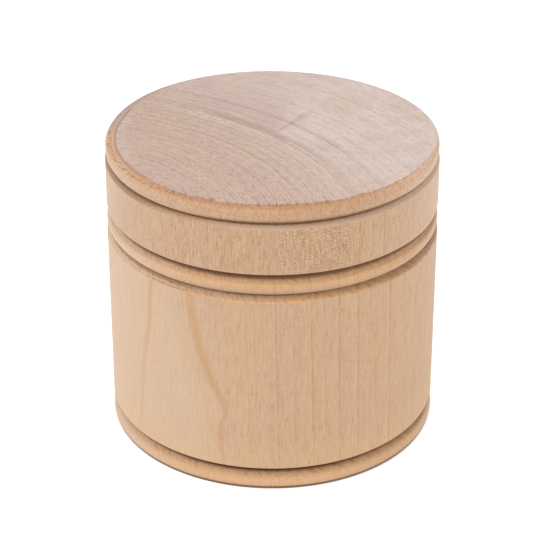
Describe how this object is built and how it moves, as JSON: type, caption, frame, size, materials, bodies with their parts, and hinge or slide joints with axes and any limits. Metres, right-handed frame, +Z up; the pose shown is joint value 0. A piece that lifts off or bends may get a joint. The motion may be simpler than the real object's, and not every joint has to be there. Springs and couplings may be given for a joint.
{
  "type": "turned wooden trinket box",
  "caption": "Round lathe-turned wooden box with a foot bead, a bead below the lid and a lift-off lid that slips over a spigot, for keeping small things.",
  "frame": {"origin": "centre of the resting face under the foot", "axes": "+Z up along the turning axis, which is also the way the lid lifts; -Y is the side that the picture shows"},
  "size_m": [0.0862, 0.0862, 0.0808],
  "materials": {
    "body_wood": "bare, sanded, matte",
    "lid_wood": "bare, sanded, matte"
  },
  "bodies": {
    "body": {"box_body": "body_wood"},
    "lid": {"lid": "lid_wood"}
  },
  "joints": [
    {"name": "lid_lift", "type": "slide", "parent": "body", "child": "lid", "axis": [0, 0, 1], "range_m": [0, 0.1]}
  ]
}
